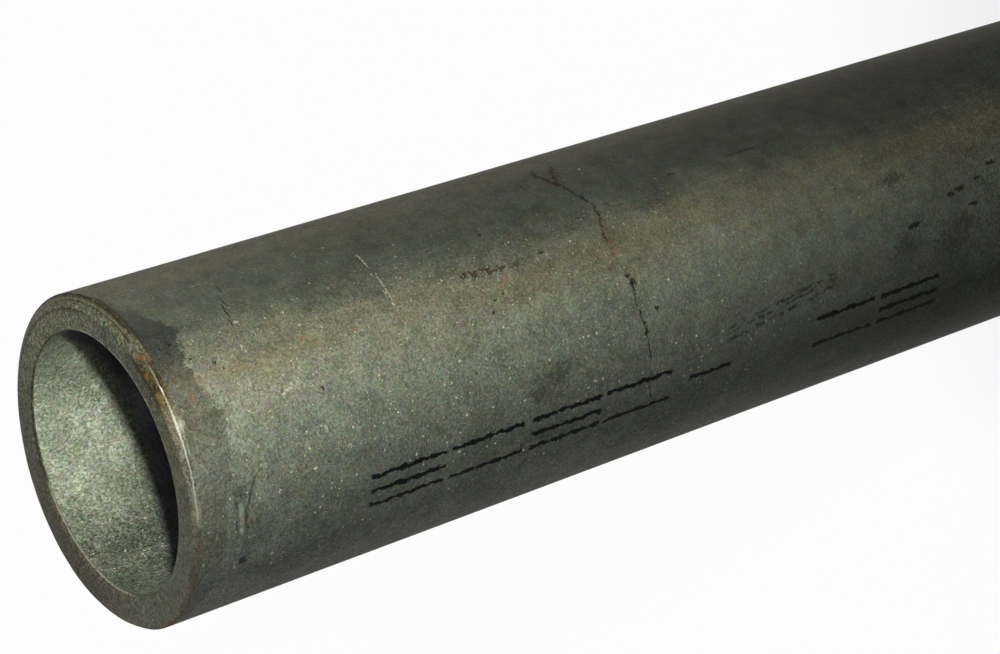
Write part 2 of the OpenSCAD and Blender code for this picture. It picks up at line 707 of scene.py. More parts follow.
# How strong the grain is, by distance from the top end and by angle
GRAIN_ALONG = [
    (0.0, 1.0), (35.0, 0.92), (50.0, 0.74), (66.0, 0.58), (80.0, 0.78), (96.0, 1.35), (150.0, 1.2),
]
GRAIN_ROUND = [
    (-180.0, 0.9), (-66.0, 0.58), (-42.0, 0.50), (-26.0, 0.92), (22.0, 1.0), (40.0, 1.0), (60.0, 1.3),
    (180.0, 1.1),
]
# Small marks: distance from the top end, angle, half length along the pipe, half width round it in mm
DARK_SPOTS = [
    (32.5, -36.0, 0.18, 0.15), (27.6, -35.8, 0.18, 0.10), (36.6, -22.0, 0.15, 0.15),
    (30.4, -10.8, 0.10, 0.10), (29.9, -6.8, 0.14, 0.18), (31.3, -11.8, 0.13, 0.13),
    (43.6, -2.0, 0.32, 0.46), (43.3, -4.4, 0.20, 0.22), (43.8, 16.0, 0.26, 0.38), (45.3, 9.2, 0.18, 0.22),
    (40.8, 11.8, 0.14, 0.16), (4.2, 49.0, 0.36, 0.46), (75.0, 10.8, 0.8, 0.30), (80.2, 4.0, 0.5, 0.26),
    (81.4, 3.0, 0.6, 0.24), (83.6, 1.2, 0.5, 0.20), (86.0, -2.6, 0.8, 0.20), (82.6, 10.2, 0.6, 0.24),
    (12.8, -0.5, 0.19, 0.28), (61.2, -37.6, 1.9, 0.07), (53.0, -37.0, 0.6, 0.08), (30.8, 45.0, 0.08, 0.9),
    (98.0, -8.0, 0.4, 0.14), (3.5, -23.4, 0.12, 0.14), (26.5, 10.5, 0.18, 0.16), (2.2, -27.5, 0.10, 0.26),
    (1.7, -29.4, 0.08, 0.20), (2.6, -31.0, 0.08, 0.28), (5.2, -19.8, 0.09, 0.22),
    (5.7, -17.0, 0.08, 0.26),
]
# Thin scratches round the pipe, placed in the same way
SCRATCHES = [
    (8.9, -41.0, 0.070, 0.80), (8.5, -36.4, 0.085, 0.85), (8.2, -31.6, 0.065, 0.50),
    (9.4, -47.0, 0.050, 0.60),
]
RUST_SPOTS = [
    (29.6, -22.0, 0.55, 0.30), (31.0, -21.5, 0.7, 0.40), (32.4, -21.0, 0.55, 0.30),
    (28.9, -22.3, 0.35, 0.25),
]
ORANGE_SPOTS = [
    (32.3, -17.4, 0.35, 0.6), (32.0, -14.2, 0.28, 0.5), (3.4, -14.6, 0.9, 0.34), (2.2, -11.8, 0.5, 0.5),
    (7.1, -15.6, 0.6, 0.34), (5.2, -13.9, 0.24, 0.40), (22.0, -15.0, 0.3, 0.15), (4.4, 33.0, 0.4, 0.3),
    (13.0, -18.4, 0.7, 0.28), (17.2, -16.6, 0.8, 0.30),
]
GREY_SPOTS = [
    (33.9, -20.8, 0.9, 0.4), (34.4, 20.5, 1.8, 1.2), (40.8, -26.8, 0.4, 0.18), (32.4, 24.5, 1.2, 0.8),
    (79.2, 21.0, 2.0, 1.4), (73.7, 17.0, 1.4, 1.0), (81.2, 16.0, 1.6, 0.9), (74.0, -8.0, 1.6, 0.5),
]
LIGHT_SPOTS = [
    (10.1, -4.0, 0.30, 0.14), (21.7, -40.0, 0.07, 0.9), (21.8, -27.0, 0.07, 1.3),
    (21.6, -25.3, 0.16, 0.20), (21.7, -20.5, 0.13, 0.28), (9.9, -3.8, 0.34, 0.15),
    (10.4, -5.2, 0.16, 0.20), (9.4, -26.0, 0.14, 0.12), (7.9, -22.0, 0.09, 0.16), (9.5, -3.0, 0.2, 0.16),
    (10.9, -5.5, 0.12, 0.2), (12.2, 12.0, 0.14, 0.3), (14.0, 20.0, 0.2, 0.2), (7.4, 27.0, 0.2, 0.14),
    (8.6, -31.0, 0.22, 0.12), (49.1, -23.5, 0.16, 0.16), (46.2, -53.8, 0.16, 0.16),
]
# Plain ink dashes in place of the print: start and end along the pipe, then the rows that are inked
INK_ROWS = (7.95, 9.30, 10.60)
INK_HALF_WIDTH = 0.14
INK_CELLS = [
    (15.8, 23.0, (0, 1, 2)), (23.5, 30.8, (0, 2)), (31.6, 38.9, (0, 1, 2)), (39.3, 46.4, (0, 2)),
    (48.4, 53.1, (1,)), (62.9, 69.9, (0, 2)), (70.6, 77.9, (0, 1, 2)),
]
# Cut end: angle, then screen colour, for its flat face and for its bevel
FACE_TONES = [
    (-180.0, (100, 99, 81)), (-152.0, (102, 101, 84)), (-112.0, (124, 127, 102)),
    (-80.0, (121, 124, 101)), (-60.0, (112, 113, 93)), (-50.0, (101, 102, 88)), (-40.0, (108, 109, 92)),
    (-24.0, (88, 88, 71)), (-8.0, (101, 101, 80)), (40.0, (101, 102, 87)), (96.0, (108, 111, 92)),
    (128.0, (97, 92, 78)), (155.0, (92, 88, 72)), (180.0, (98, 97, 80)),
]
# Between -158 and -114 degrees the bevel's tones hold painted shade.
BEVEL_TONES = [
    (-180.0, (98, 94, 78)), (-158.0, (94, 93, 77)), (-146.0, (80, 81, 64)), (-128.0, (82, 82, 66)),
    (-114.0, (104, 103, 83)), (-98.0, (138, 137, 110)), (-80.0, (120, 119, 98)), (-70.0, (129, 129, 104)),
    (-56.0, (122, 131, 109)), (-46.0, (112, 115, 94)), (-35.0, (118, 118, 98)), (-28.0, (98, 95, 70)),
    (-21.0, (84, 76, 49)), (-15.0, (114, 104, 70)), (-7.0, (136, 130, 104)), (4.0, (130, 129, 109)),
    (20.0, (108, 111, 97)), (28.0, (117, 113, 96)), (36.0, (103, 99, 85)), (50.0, (91, 89, 74)),
    (80.0, (114, 111, 94)), (100.0, (96, 92, 76)), (140.0, (84, 78, 63)), (180.0, (98, 94, 78)),
]
# How light the painted highlight line is that runs round near the outer edge of the bevel
BRIGHT_LINE = [
    (-30.0, 0.08), (-24.0, 0.22), (-19.0, 0.35), (-17.5, 0.95), (-16.0, 0.95), (-14.0, 0.45),
    (-10.0, 0.52), (-6.0, 0.95), (-1.0, 0.92), (2.5, 0.62), (7.0, 0.62), (11.0, 0.38), (16.0, 0.40),
    (20.0, 0.25), (26.0, 0.12), (30.0, 0.0),
]
# How strong the grain of the cut face is, by angle
FACE_GRAIN = [
    (-180.0, 0.75), (-140.0, 0.9), (-115.0, 1.15), (-75.0, 1.3), (-25.0, 1.1), (0.0, 0.75), (60.0, 0.6),
    (95.0, 0.9), (180.0, 0.75),
]
# How light the bore is, by angle: partly the wall's own tone, partly painted light near 180 degrees and
# painted shade from 100 to 150 degrees
BORE_ROUND = [
    (-180.0, 1.24), (-160.0, 1.34), (-140.0, 1.16), (-120.0, 0.96), (-90.0, 0.9), (60.0, 0.9),
    (100.0, 0.68), (122.0, 0.50), (142.0, 0.48), (160.0, 0.78), (180.0, 1.24),
]
# Depth from which the rim's painted shadow covers the bore's wall, by angle
BORE_SHADOW_DEPTH = [
    (-180.0, 9.6), (-160.0, 9.1), (-148.0, 8.1), (-139.0, 7.2), (-123.0, 4.95), (-112.0, 3.0),
    (-96.0, 1.0), (-60.0, 1.0), (60.0, 4.0), (96.0, 5.0), (112.0, 5.6), (136.0, 7.2), (156.0, 8.6),
    (180.0, 9.6),
]
# Painted shade deeper in the bore: how light the bore is, by depth
BORE_INWARD_SHADE = [(0.0, 1.0), (4.5, 1.04), (7.5, 0.90), (11.0, 0.58), (16.0, 0.50), (150.0, 0.50)]

# How far each channel drifts in the grain
TINT_AMOUNTS = (0.46, 0.40, 0.50)
# Sparks of two sizes, light specks painted as glints that also stand up as relief: cells in a millimetre,
# share of them that spark, how light, shift of the cells
GLINT_SIZES = [(2.4, 0.17, 1.08, (5.0, 5.0, 5.0)), (4.4, 0.44, 0.88, (1.0, 8.0, 3.0))]
# Height that a full bump stands for, in millimetres
ZINC_RELIEF = 0.05
BORE_RELIEF = 0.06

# Screen colours of the sparks, which are painted glints on the grain's specks
OUTSIDE_GLINT = (238, 242, 198)
END_GLINT = (196, 194, 166)
BORE_GLINT = (224, 230, 200)
# Screen colours of the films, stains and marks on the outside
TAN_FILM = (255, 232, 214)
COOL_FILM = (236, 255, 246)
STAIN_GREY = (54, 56, 51)
STAIN_BROWN = (68, 62, 53)
CRACK_BLACK = (22, 18, 14)
CRACK_RUST = (120, 84, 58)
CRACK_DIRT = (58, 42, 30)
FORK_DIRT = (62, 45, 32)
RUN_BORDER = (44, 48, 40)
RUN_CORE = (172, 180, 156)
SCRATCH_DARK = (32, 32, 28)
PALE_MARK = (204, 204, 178)
BLACK_MARK = (26, 25, 22)
EDGE_DIRT = (52, 48, 38)
# Painted highlight on the top end's outer edge
EDGE_GLARE = (214, 212, 188)
INK = (9, 9, 10)
# Screen colours of the marks on the cut ends, and of the bottom end's bevel
PLAIN_BEVEL = (104, 102, 86)
PIT_DARK = (44, 36, 30)
BEVEL_DARK = (50, 38, 24)
BEVEL_RUST = (146, 108, 62)
GRAVEL_PALE = (168, 152, 122)
GRAVEL_DARK = (66, 58, 46)
NOTCH_DARK = (44, 38, 32)
# Painted highlight along the bevel's outer edge
HIGHLIGHT_WHITE = (255, 255, 238)
HIGHLIGHT_PATCH = (226, 224, 198)
# Screen colours of the bore's wall, and how it changes in the rim's painted shadow further in, channel by
# channel
BORE_DIM = (142, 151, 129)
BORE_PALE = (170, 177, 153)
SHADOW_TINT_FACTORS = (1.18, 1.03, 1.62)

# Ragged marks of three kinds: spots, where their noise starts and is full, strength, screen colour
RAGGED_MARKS = [
    (GREY_SPOTS, 0.1, 1.0, 0.62, (58, 61, 50)),
    (ORANGE_SPOTS, 0.2, 1.2, 0.45, (158, 116, 84)),
    (RUST_SPOTS, 0.2, 0.7, 0.8, (66, 49, 36)),
]
# Smeared ink between two groups of dashes: start and end along the pipe, arc, rise, lines beside it
SMEAR_START = 52.5
SMEAR_END = 65.2
SMEAR_ARC = 7.0
SMEAR_RISE = 0.13
SMEAR_LINES = (0.0, 0.62, 1.05)
# The fork beside the crack's upper end: depth at its start, angle there, and slope in mm for a degree
FORK_DEPTH = 42.9
FORK_ANGLE = -50.0
FORK_SLOPE = 0.13
# The dark branch of the zinc run, given in the same way
BRANCH_DEPTH = 4.6
BRANCH_ANGLE = 27.0
BRANCH_SLOPE = 0.10
# Lines along the corners of the top end: screen colour, zone of the middle, half width in zones,
# angles from and to, strength, and degrees that they fade over
CORNER_LINES = [
    ((48, 40, 28), 1.0, 0.08, -128.0, -66.0, 0.8, 6.0),
    ((60, 44, 24), 1.12, 0.15, -35.0, -11.0, 0.85, 3.0),
    ((84, 76, 60), 0.15, 0.30, -160.0, -40.0, 0.6, 6.0),
    ((52, 44, 32), 0.42, 0.07, -78.0, -38.0, 0.8, 6.0),
    ((144, 128, 84), 0.27, 0.06, -68.0, -42.0, 0.5, 6.0),
    ((48, 40, 30), 0.04, 0.12, -158.0, -36.0, 0.8, 6.0),
    ((72, 64, 50), 0.15, 0.34, 34.0, 76.0, 0.5, 6.0),
    ((158, 165, 140), 0.36, 0.20, 16.0, 29.0, 0.62, 2.0),
    ((44, 40, 30), 0.2, 0.2, 31.0, 33.0, 0.6, 1.0),
    ((118, 76, 42), 0.12, 0.3, 76.0, 102.0, 0.5, 6.0),
    ((190, 194, 174), 2.0, 0.06, -70.0, 4.0, 0.7, 6.0),
    ((150, 150, 132), 2.0, 0.05, 4.0, 60.0, 0.35, 6.0),
    ((34, 31, 26), 2.6, 0.34, -180.0, -96.0, 0.8, 6.0),
    ((196, 196, 174), 2.86, 0.14, 104.0, 180.0, 0.7, 6.0),
]


def marks(n, depth, arc, spots):
    """One mask with a soft blob at every spot of a list."""
    blobs = []
    for where, angle, half_length, half_width in spots:
        blobs.append(n.blob(depth, arc, (where, angle * ARC_PER_DEGREE), (half_length, half_width)))
    return n.most(*blobs)


def grain(n, colour, place, strength, glint_tone, sparks, level):
    """Crystalline grain: small facets, drifting tints, and sparks of two sizes, light specks painted as
    glints, that stand up a little.

    Gives the colour, the fine noise and the sparks, whose heights the relief is made of."""
    plain = n.tint(colour, place, 1.5, TINT_AMOUNTS, (9.0, 2.0, 5.0))
    shaken = n.warp(place, 3.4, 0.14)
    fine = n.noise(place, 6.5, 1.0, 0.6, (0.0, 17.0, 0.0))
    colour = n.ripple(plain, fine, 1.2 * strength)
    colour = n.facets(colour, shaken, 6.2, 0.66 * strength)
    colour = n.facets(colour, shaken, 2.6, 0.10 * strength, (4.0, 1.0, 7.0))
    crowd = n.jog(n.noise(place, 0.5, 1.0, 0.5, (3.0, 5.0, 8.0)), 0.8)
    lumps = []
    for scale, share, light, shift in GLINT_SIZES:
        distance, own, other = n.cells(shaken, scale, shift)
        chosen = n.rise(n.add(own, crowd), 1.0 - share, 1.0 - share * 0.7)
        reach = n.line(other, 0.20, 0.09)
        spark = n.mul(chosen, n.rise(n.sub(reach, distance), -0.05, 0.06))
        lumps.append(spark)
        # Painted glint: the spark is laid over in a light screen colour
        shine = n.mul(spark, n.line(other, light * 0.7, light * 0.3), sparks)
        colour = n.paint(shine, colour, glint_tone)
    return n.mix(level, plain, colour), fine, n.most(*lumps)


def outside_noises(n, place):
    """The noises that the tones and marks of the outside share."""
    streaky = n.vector("MULTIPLY", place, (1.0, 1.0, 0.14))
    broad = n.noise(place, 0.12, 3.0, 0.55)
    streak = n.noise(streaky, 0.55, 3.0, 0.6, (3.0, 0.0, 9.0))
    return {
        "streaky": streaky,
        "broad": broad,
        "streak": streak,
        "drift": n.add(n.jog(broad, 16.0), n.jog(streak, 14.0)),
        "middle": n.noise(place, 0.5, 4.0, 0.62, (11.0, 0.0, 0.0)),
        "ragged": n.noise(place, 1.1, 4.0, 0.7, (6.0, 6.0, 0.0)),
        "jitter": n.noise(place, 3.0, 1.0, 0.6, (5.0, 12.0, 0.0)),
    }


def outside_tones(n, at, noises):
    """Broad tones by angle with a painted highlight band, a painted falloff of light by distance from the
    end, and clouds, streaks and films of colour.
    """
    angle = at["angle"]
    bent = n.add(angle, noises["drift"])
    colour = n.ramp(bent, OUTSIDE_TONES_AND_HIGHLIGHT)
    # Painted falloff of light along the pipe; the side turned away keeps most of its own tone
    behind = n.rise(n.math("ABSOLUTE", angle), 88.0, 135.0)
    fade = n.most(n.curve(at["depth"], OUTSIDE_LIGHT_FALLOFF), n.mul(behind, 0.9))
    clouds = n.mul(n.swing(noises["middle"], 1.0), n.swing(noises["broad"], 0.4))
    colour = n.shade(colour, n.mul(fade, clouds, n.swing(noises["streak"], 0.35)))

    # Tan film in a band along the pipe, and cooler patches beside it
    band = n.bell(n.add(angle, n.mul(noises["drift"], 0.5)), -17.0, 6.5)
    tan = n.mul(band, n.rise(n.noise(noises["streaky"], 0.3, 3.0, 0.6), 0.30, 0.70))
    colour = n.paint(n.mul(tan, 0.52), colour, TAN_FILM, "MULTIPLY")
    cool = n.mul(n.bell(bent, 14.0, 16.0), n.rise(noises["middle"], 0.5, 0.7))
    colour = n.paint(n.mul(cool, 0.22), colour, COOL_FILM, "MULTIPLY")
    return n.tint(colour, at["place"], 0.6, (0.22, 0.12, 0.30), (1.0, 4.0, 2.0))


def side_light(n, colour, at):
    """Painted light and shade: far from the end the upper side is lighter and the under side darker; near
    it the reverse.
    """
    angle = at["angle"]
    depth = at["depth"]
    upper = n.mul(n.rise(depth, 58.0, 80.0), n.bell(angle, -42.0, 17.0))
    below = n.mul(n.rise(angle, 30.0, 46.0), n.rise(angle, 130.0, 88.0))
    under = n.mul(n.rise(depth, 55.0, 80.0), below)
    close = n.mul(n.rise(depth, 26.0, 18.0), n.bell(angle, -34.0, 9.0))
    lighter = n.line(upper, 0.36, 1.0)
    darker = n.sub(n.line(under, -0.26, 1.0), n.mul(close, 0.12))
    return n.shade(colour, n.mul(lighter, darker))


def rim_stain(n, colour, at, noises):
    """Dark stain along the top end's rim, deepest where it ends against the light zone."""
    angle = at["angle"]
    border = n.add(n.curve(angle, RIM_STAIN), n.jog(noises["ragged"], 2.0), n.jog(noises["jitter"], 0.8))
    stain = n.rise(n.sub(border, at["depth"]), -0.12, 0.15)
    stain = n.mul(stain, n.curve(angle, STAIN_DEPTH))
    tone = n.mix(n.rise(angle, -27.0, -14.0), srgb(*STAIN_GREY), srgb(*STAIN_BROWN))
    return n.mix(stain, colour, tone), stain


def outside_glints(n, at, stain):
    """Painted glints: how strong the sparks are, most on the lit side near the end, and few on the stain.
    """
    lit = n.line(n.bell(at["angle"], -3.0, 30.0), 0.65, 0.35)
    near = n.line(n.rise(at["depth"], 72.0, 44.0), 0.65, 0.35)
    return n.mul(lit, near, n.line(stain, -1.5, 1.0, clamp=True))


def small_marks(n, colour, at, noises, fine):
    """Patches, rust, scratches, pale flecks and black spots, with ragged outlines."""
    depth = at["depth"]
    arc = at["arc"]
    jitter = noises["jitter"]
    jogged_depth = n.add(depth, n.jog(noises["ragged"], 0.8), n.jog(jitter, 0.7))
    jogged_arc = n.add(arc, n.jog(fine, 0.6))
    rough_edge = n.jog(jitter, 2.4)
    for spots, low, high, strength, tone in RAGGED_MARKS:
        spot = marks(n, jogged_depth, jogged_arc, spots)
        mask = n.mul(n.rise(n.add(spot, rough_edge), low, high), n.rise(spot, 0.04, 0.14), strength)
        colour = n.paint(mask, colour, tone)
    wavy_depth = n.add(depth, n.jog(noises["ragged"], 0.5))
    thin = n.rise(marks(n, wavy_depth, arc, SCRATCHES), 0.25, 0.8)
    colour = n.paint(n.mul(thin, n.line(jitter, 1.3, 0.20, clamp=True)), colour, SCRATCH_DARK)
    light = n.rise(marks(n, depth, jogged_arc, LIGHT_SPOTS), 0.22, 0.62)
    colour = n.paint(n.mul(light, n.rise(fine, 0.3, 0.6)), colour, PALE_MARK)
    dark = n.rise(marks(n, jogged_depth, jogged_arc, DARK_SPOTS), 0.30, 0.62)
    return n.paint(n.mul(dark, 0.82), colour, BLACK_MARK)


def slant(n, depth, angle, start_depth, start_angle, slope):
    """Distance along the pipe to a line that runs at a slant from a depth at an angle."""
    return n.sub(n.sub(depth, start_depth), n.mul(n.sub(start_angle, angle), slope))


def zinc_run(n, colour, at, noises):
    """The run of zinc near the end: a light core between dark borders, and a dark branch."""
    angle = at["angle"]
    depth = n.add(at["depth"], n.jog(noises["ragged"], 0.7))
    side = n.math("ABSOLUTE", n.sub(depth, RUN_DEPTH + 0.05))
    flaky = n.rise(n.noise(at["place"], 2.6, 2.0, 0.6, (4.0, 2.0, 6.0)), 0.40, 0.58)
    border = n.mul(n.bell(side, 0.40, 0.17), n.window(angle, 21.5, 37.0, 2.0), n.line(flaky, 0.5, 0.3))
    colour = n.paint(border, colour, RUN_BORDER)
    core = n.bell(side, 0.0, 0.20)
    upper = n.mul(core, n.window(angle, 21.0, 26.0, 1.5), 0.6)
    colour = n.paint(upper, colour, RUN_BORDER)
    lower = n.mul(core, n.window(angle, 26.5, 37.0, 1.5), n.line(flaky, 0.5, 0.22))
    colour = n.paint(lower, colour, RUN_CORE)
    branch = n.bell(slant(n, depth, angle, BRANCH_DEPTH, BRANCH_ANGLE, BRANCH_SLOPE), 0.0, 0.13)
    return n.paint(n.mul(branch, n.window(angle, 19.0, 28.0, 1.5), 0.7), colour, RUN_BORDER)


def crack_line(n, colour, at, noises, fine):
    """The hairline crack: dark, uneven, rusty in places, and forked at its upper end."""
    angle = at["angle"]
    ragged = noises["ragged"]
    across = n.add(n.attribute("crack"), n.jog(ragged, 0.8), n.jog(fine, 0.5))
    reach = n.mul(n.rise(angle, -64.0, -60.0), n.rise(angle, 50.0, 40.0))
    patchy = n.rise(n.noise(at["place"], 2.6, 1.0, 0.5, (7.0, 7.0, 2.0)), 0.38, 0.60)
    rust = n.mul(n.bell(across, 0.12, 0.26), reach, n.window(angle, -28.0, -13.5, 1.0), 0.75)
    colour = n.paint(n.mul(rust, n.line(patchy, 0.7, 0.3)), colour, CRACK_RUST)
    dirt = n.mul(n.bell(across, -0.05, 0.34), reach, n.rise(angle, -38.0, -52.0), 0.8)
    colour = n.paint(n.mul(dirt, patchy), colour, CRACK_DIRT)

    # The black gap: strong in its upper part, then missing for a stretch, then uneven
    uneven = n.rise(n.noise(at["place"], 0.9, 2.0, 0.6, (2.0, 2.0, 2.0)), 0.40, 0.58)
    upper = n.mul(n.rise(angle, -18.0, -25.0), n.line(uneven, 0.34, 0.50))
    lower = n.mul(uneven, n.sub(1.0, n.window(angle, -14.5, -6.5, 1.0)), 0.9)
    half_width = n.line(n.window(angle, -40.0, -20.0, 6.0), 0.05, 0.080)
    near = n.math("DIVIDE", across, half_width)
    gap = n.math("EXPONENT", n.mul(near, near, -1.0))
    colour = n.paint(n.mul(gap, reach, n.most(upper, lower)), colour, CRACK_BLACK)

    fork = n.add(slant(n, at["depth"], angle, FORK_DEPTH, FORK_ANGLE, FORK_SLOPE), n.jog(ragged, 1.2))
    fork = n.mul(n.bell(fork, 0.0, 0.46), n.window(angle, -61.5, -50.0, 1.5))
    return n.paint(n.mul(fork, patchy, 0.9), colour, FORK_DIRT)


def ink_marks(n, colour, at, noises, fine):
    """Rows of ragged dashes where the real pipe has print: no letters and no numbers."""
    arc = n.add(at["arc"], n.jog(noises["ragged"], 0.9))
    along = n.add(at["depth"], n.jog(fine, 0.6))
    swell = n.line(n.noise(at["place"], 1.5, 1.0, 0.5, (8.0, 0.0, 1.0)), 0.36, -0.12)
    strokes = []
    for start, end, rows in INK_CELLS:
        cell = n.window(along, start, end, 0.05)
        for row in rows:
            side = n.sub(n.math("ABSOLUTE", n.sub(arc, INK_ROWS[row])), swell)
            strokes.append(n.mul(cell, n.rise(side, INK_HALF_WIDTH + 0.04, INK_HALF_WIDTH - 0.04)))
    smear = n.window(along, SMEAR_START, SMEAR_END, 1.0)
    rise = n.mul(n.sub(SMEAR_START, along), SMEAR_RISE)
    for beside in SMEAR_LINES:
        side = n.sub(n.sub(arc, SMEAR_ARC - beside), rise)
        patchy = n.rise(n.noise(at["place"], 1.6, 2.0, 0.6, (beside, 3.0, 3.0)), 0.46, 0.54)
        strokes.append(n.mul(smear, n.bell(side, 0.0, 0.13), patchy, 0.75))
    return n.paint(n.mul(n.most(*strokes), 0.96), colour, INK)


def rim_edge(n, colour, at, fine):
    """Dark line just outside the bevel, and a painted highlight that reaches over its edge."""
    angle = at["angle"]
    past_edge = n.mul(n.attribute("zone"), -1.0)
    dark = n.mul(n.rise(past_edge, 0.45, 0.25), n.window(angle, -64.0, -34.0, 5.0), 0.6)
    colour = n.paint(dark, colour, EDGE_DIRT)
    glare = n.rise(n.sub(n.mul(n.bell(angle, -4.2, 1.6), 0.44), past_edge), 0.0, 0.15)
    return n.paint(n.mul(glare, n.line(fine, 0.6, 0.12)), colour, EDGE_GLARE)


def outside_zinc():
    """Weathered zinc on the outside: grey-green, with a tan band, stains, grain, small sparks painted as
    glints, and a painted highlight band and falloff of light.
    """
    n = Nodes("weathered_zinc")
    at = pipe_places(n)
    noises = outside_noises(n, at["place"])
    colour = outside_tones(n, at, noises)
    colour = side_light(n, colour, at)
    colour, stain = rim_stain(n, colour, at, noises)
    glints = outside_glints(n, at, stain)
    level = n.mul(n.curve(at["depth"], GRAIN_ALONG), n.curve(at["angle"], GRAIN_ROUND))
    colour, fine, lumps = grain(n, colour, at["place"], 0.98, OUTSIDE_GLINT, glints, level)
    colour = small_marks(n, colour, at, noises, fine)
    colour = zinc_run(n, colour, at, noises)
    colour = crack_line(n, colour, at, noises, fine)
    colour = ink_marks(n, colour, at, noises, fine)
    colour = rim_edge(n, colour, at, fine)
    height = n.add(n.mul(fine, 0.8), n.mul(lumps, 0.9))
    return n.surface(colour, 0.55, n.bump(height, 0.8, ZINC_RELIEF))


def end_places(n):
    """What the cut ends are drawn by: the pipe's places, the zone, its wavy copy and a few noises."""
    at = pipe_places(n)
    at["zone"] = n.attribute("zone")
    at["top"] = n.rise(at["depth"], 8.0, 4.0)
    at["patchy"] = n.noise(at["place"], 2.4, 2.0, 0.6, (1.0, 1.0, 9.0))
    at["ragged"] = n.noise(at["place"], 1.1, 3.0, 0.7, (6.0, 6.0, 0.0))
    at["wavy"] = n.add(at["zone"], n.jog(at["patchy"], 0.36))
    return at


def end_tones(n, at):
    """Broad tones of the flat face and the bevel, by angle, with blotches and drifting tints."""
    face = n.ramp(at["angle"], FACE_TONES)
    bevel = n.mix(at["top"], srgb(*PLAIN_BEVEL), n.ramp(at["angle"], BEVEL_TONES))
    colour = n.mix(n.rise(at["wavy"], 1.10, 0.94), face, bevel)
    middle = n.noise(at["place"], 0.7, 4.0, 0.6)
    blotchy = n.noise(at["place"], 1.7, 2.0, 0.5, (2.0, 8.0, 5.0))
    colour = n.shade(colour, n.mul(n.swing(middle, 0.8), n.swing(blotchy, 0.5)))
    return n.tint(colour, at["place"], 0.8, (0.34, 0.28, 0.44))


def end_pits(n, colour, at):
    """Pits of the cut ends, most of them on the upper part."""
    pits = n.noise(at["place"], 1.9, 2.0, 0.7, (0.0, 3.0, 0.0))
    crowd = n.mul(n.window(at["angle"], -125.0, -30.0, 15.0), 0.05)
    pits = n.rise(n.add(pits, crowd), 0.66, 0.73)
    return n.paint(n.mul(pits, 0.7), colour, PIT_DARK), pits


def bevel_rust(n, colour, at):
    """Mottled rust on the bevel, and the gravelly patch above it."""
    patchy = at["patchy"]
    rusty = n.mul(n.window(at["angle"], -33.0, -13.0, 3.0), n.rise(at["wavy"], 1.22, 1.02))
    colour = n.paint(n.mul(rusty, n.rise(patchy, 0.56, 0.40), 0.66), colour, BEVEL_DARK)
    colour = n.paint(n.mul(rusty, n.rise(at["ragged"], 0.50, 0.66), 0.6), colour, BEVEL_RUST)
    gravel = n.mul(n.window(at["angle"], -52.0, -33.0, 3.0), n.rise(at["wavy"], 1.05, 0.9))
    colour = n.paint(n.mul(gravel, n.rise(patchy, 0.55, 0.66), 0.6), colour, GRAVEL_PALE)
    return n.paint(n.mul(gravel, n.rise(patchy, 0.42, 0.34), 0.6), colour, GRAVEL_DARK)


def corner_lines(n, colour, at):
    """Broken dark and light lines along the corners of the top end, and a notch across it."""
    kept = n.mul(n.rise(at["patchy"], 0.24, 0.46), at["top"])
    for tone, centre, half_width, low, high, strength, fade in CORNER_LINES:
        line = n.mul(n.bell(at["wavy"], centre, half_width), n.window(at["angle"], low, high, fade))
        colour = n.paint(n.mul(line, kept, strength), colour, tone)
    across = n.add(at["angle"], n.jog(at["patchy"], 5.0))
    notch = n.mul(n.bell(across, 142.6, 0.55), n.window(at["zone"], 0.3, 1.9, 0.25))
    return n.paint(n.mul(notch, at["top"], 0.7), colour, NOTCH_DARK)


def bevel_highlight(n, colour, at, fine):
    """Painted highlight: a light line along the bevel, near its outer edge, with a lighter patch at its
    brightest.
    """
    angle = at["angle"]
    place = n.add(at["zone"], n.jog(at["ragged"], 0.16), n.jog(fine, 0.12))
    width = n.line(n.bell(angle, -4.0, 5.5), 0.060, 0.060)
    side = n.math("ABSOLUTE", n.sub(place, 0.33))
    line = n.rise(n.math("DIVIDE", side, width), 1.5, 0.5)
    broken = n.line(n.rise(fine, 0.30, 0.50), 0.55, 0.45)
    line = n.mul(line, n.curve(angle, BRIGHT_LINE), broken, at["top"])
    colour = n.paint(line, colour, HIGHLIGHT_WHITE)
    patch = n.mul(n.bell(angle, -3.8, 2.0), n.rise(place, 0.40, 0.20), 0.6, at["top"])
    return n.paint(patch, colour, HIGHLIGHT_PATCH)


def cut_end():
    """The cut ring and its bevel: dull olive grey with fine pits, rusty and bright lines on its corners,
    and a painted highlight along the bevel.
    """
    n = Nodes("cut_end")
    at = end_places(n)
    colour = end_tones(n, at)
    level = n.curve(at["angle"], FACE_GRAIN)
    colour, fine, lumps = grain(n, colour, at["place"], 1.6, END_GLINT, n.mul(level, 0.5), level)
    colour, pits = end_pits(n, colour, at)
    colour = bevel_rust(n, colour, at)
    colour = corner_lines(n, colour, at)
    colour = bevel_highlight(n, colour, at, fine)
    height = n.sub(n.add(fine, n.mul(lumps, 0.5)), pits)
    return n.surface(colour, 0.6, n.bump(height, 0.6, ZINC_RELIEF))


